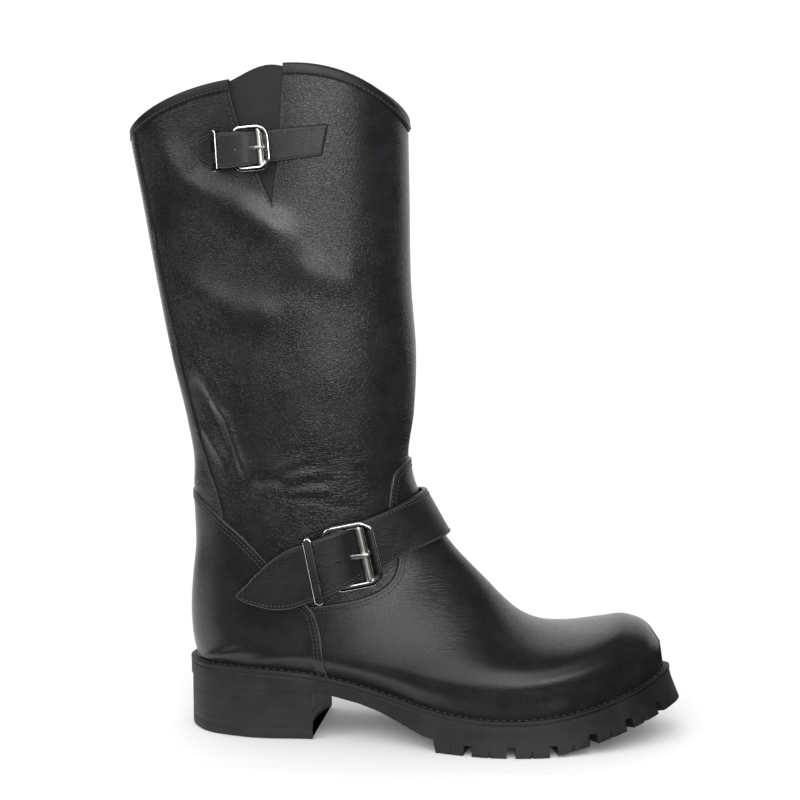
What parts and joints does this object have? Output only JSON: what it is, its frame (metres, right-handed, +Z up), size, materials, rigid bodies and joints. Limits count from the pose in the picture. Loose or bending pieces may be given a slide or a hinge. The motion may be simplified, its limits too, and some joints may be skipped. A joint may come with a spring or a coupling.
{
  "type": "biker boot",
  "caption": "Tall black leather biker boot for the right foot, with a notched collar, buckled straps at collar and ankle, a block heel and a lugged rubber sole.",
  "frame": {"origin": "middle of the flat underside of the heel, on the floor", "axes": "+X from the heel to the toe, +Y to the medial side of the right foot, +Z up the shaft"},
  "size_m": [0.3117, 0.1098, 0.3762],
  "materials": {
    "shaft_leather": "satin pebbled grain",
    "vamp_leather": "smooth satin grain",
    "strap_leather": "satin grain",
    "gusset_leather": "matte",
    "binding_leather": "satin",
    "sole_rubber": "matte",
    "welt_rubber": "matte",
    "insole_fabric": "matte",
    "nickel": "polished nickel"
  },
  "bodies": {
    "root": {"ankle_billet": "strap_leather", "ankle_buckle_frame": "nickel", "ankle_buckle_prong": "nickel", "ankle_buckle_roller": "nickel", "ankle_keeper": "nickel", "ankle_strap": "strap_leather", "back_stay": "shaft_leather", "collar_binding": "binding_leather", "counter": "vamp_leather", "gusset": "gusset_leather", "heel": "sole_rubber", "insole": "insole_fabric", "outsole": "sole_rubber", "top_billet": "strap_leather", "top_buckle_frame": "nickel", "top_buckle_prong": "nickel", "top_buckle_roller": "nickel", "top_keeper": "nickel", "top_strap": "strap_leather", "upper": "shaft_leather", "vamp": "vamp_leather", "welt": "welt_rubber"}
  },
  "joints": []
}
